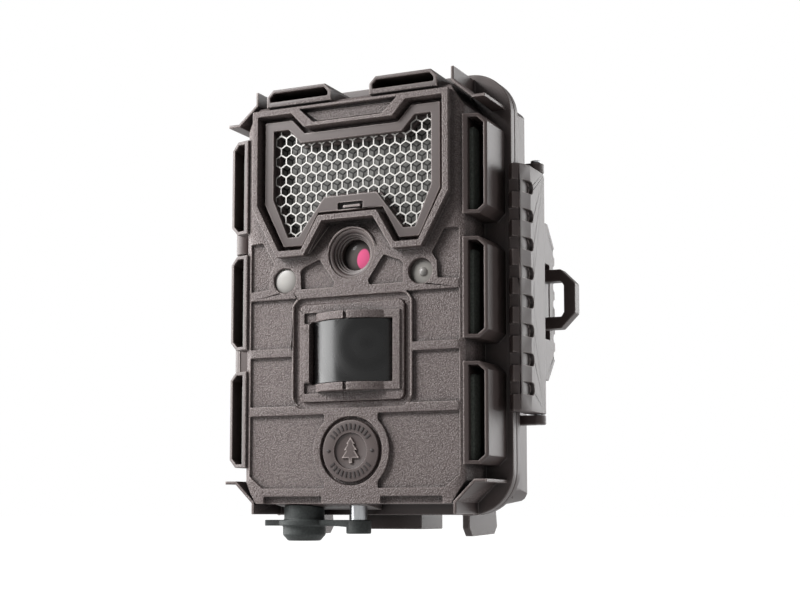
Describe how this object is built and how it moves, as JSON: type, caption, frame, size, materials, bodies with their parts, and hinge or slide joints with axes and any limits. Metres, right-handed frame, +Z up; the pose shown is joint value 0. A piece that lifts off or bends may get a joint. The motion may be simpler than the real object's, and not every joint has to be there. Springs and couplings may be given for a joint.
{
  "type": "trail camera",
  "caption": "Hinged weatherproof trail camera with infrared window, lens, motion sensor, side latch and rear rails for a tree strap.",
  "frame": {"origin": "centre of the tripod socket's mouth, under the rear case", "axes": "+X to the right seen from the front, +Y from the face towards the tree, +Z up"},
  "size_m": [0.1122, 0.076, 0.1498],
  "materials": {
    "case_plastic": "moulded ABS with a fine pebble texture, taupe brown",
    "smooth_plastic": "moulded ABS, fine satin, taupe brown",
    "dark_plastic": "moulded ABS, black, fine matt",
    "seal_rubber": "moulded rubber, matt",
    "steel": "plated steel",
    "brass": "turned brass",
    "mesh_metal": "etched aluminium mesh",
    "filter_plastic": "moulded acrylic filter, grey",
    "circuit_board": "glass-epoxy board with green solder mask",
    "led_resin": "clear cast resin",
    "lens_glass": "coated optical glass",
    "window_clear": "clear polycarbonate",
    "window_frosted": "frosted polycarbonate",
    "pir_film": "black moulded polyethylene, glossy",
    "cell_wrap": "printed-free shrink wrap over steel",
    "key_plastic": "moulded silicone keys",
    "card_plastic": "moulded card case",
    "lcd_glass": "liquid crystal panel"
  },
  "bodies": {
    "rear_case": {"rear_housing": "case_plastic", "case_gasket": "seal_rubber", "tripod_insert": "brass", "battery_tray": "dark_plastic", "battery_contacts": "steel", "battery_springs": "steel", "aa_cell_1": "cell_wrap", "aa_cell_2": "cell_wrap", "aa_cell_3": "cell_wrap", "aa_cell_4": "cell_wrap", "aa_cell_5": "cell_wrap", "aa_cell_6": "cell_wrap", "aa_cell_7": "cell_wrap", "aa_cell_8": "cell_wrap", "tray_screws": "steel", "hinge_pin": "steel", "latch_pin": "steel"},
    "door": {"front_housing": "case_plastic", "led_bezel": "smooth_plastic", "led_mesh": "mesh_metal", "led_filter": "filter_plastic", "led_board": "circuit_board", "ir_leds": "led_resin", "lens_ring": "smooth_plastic", "lens_glass": "lens_glass", "lens_barrel": "dark_plastic", "image_sensor": "dark_plastic", "left_window": "window_frosted", "right_window": "window_clear", "light_sensor": "dark_plastic", "status_led": "led_resin", "pir_bezel": "case_plastic", "pir_lens": "pir_film", "pir_sensor": "steel", "badge": "smooth_plastic", "main_board": "circuit_board", "board_screws": "steel", "inner_panel": "dark_plastic", "panel_screws": "steel", "lcd_screen": "lcd_glass", "sd_socket": "steel", "usb_socket": "steel", "power_jack": "steel", "leash_post": "steel", "spring_contacts": "brass"},
    "latch": {"latch_lever": "case_plastic"},
    "card": {"sd_card": "card_plastic"},
    "switch": {"power_switch": "dark_plastic"},
    "key_up": {"key_up": "key_plastic"},
    "key_down": {"key_down": "key_plastic"},
    "key_left": {"key_left": "key_plastic"},
    "key_right": {"key_right": "key_plastic"},
    "key_ok": {"key_ok": "key_plastic"},
    "cover": {"port_cover": "seal_rubber"}
  },
  "joints": [
    {"name": "door_hinge", "type": "hinge", "parent": "rear_case", "child": "door", "pos_m": [-0.0513, -0.01305, 0.07335], "axis": [0, 0, -1], "range_deg": [0, 115]},
    {"name": "latch_hinge", "type": "hinge", "parent": "rear_case", "child": "latch", "pos_m": [0.0513, -0.0028, 0.07555], "axis": [0, 0, 1], "range_deg": [0, 100]},
    {"name": "card_slide", "type": "slide", "parent": "door", "child": "card", "axis": [1, 0, 0], "range_m": [0, 0.004]},
    {"name": "switch_slide", "type": "slide", "parent": "door", "child": "switch", "axis": [1, 0, 0], "range_m": [-0.003, 0.003]},
    {"name": "key_up_press", "type": "slide", "parent": "door", "child": "key_up", "axis": [0, -1, 0], "range_m": [0, 0.0008], "stiffness_N_per_m": 900},
    {"name": "key_down_press", "type": "slide", "parent": "door", "child": "key_down", "axis": [0, -1, 0], "range_m": [0, 0.0008], "stiffness_N_per_m": 900},
    {"name": "key_left_press", "type": "slide", "parent": "door", "child": "key_left", "axis": [0, -1, 0], "range_m": [0, 0.0008], "stiffness_N_per_m": 900},
    {"name": "key_right_press", "type": "slide", "parent": "door", "child": "key_right", "axis": [0, -1, 0], "range_m": [0, 0.0008], "stiffness_N_per_m": 900},
    {"name": "key_ok_press", "type": "slide", "parent": "door", "child": "key_ok", "axis": [0, -1, 0], "range_m": [0, 0.0008], "stiffness_N_per_m": 900},
    {"name": "cover_pull", "type": "slide", "parent": "door", "child": "cover", "axis": [0, 0, -1], "range_m": [0, 0.007]}
  ]
}
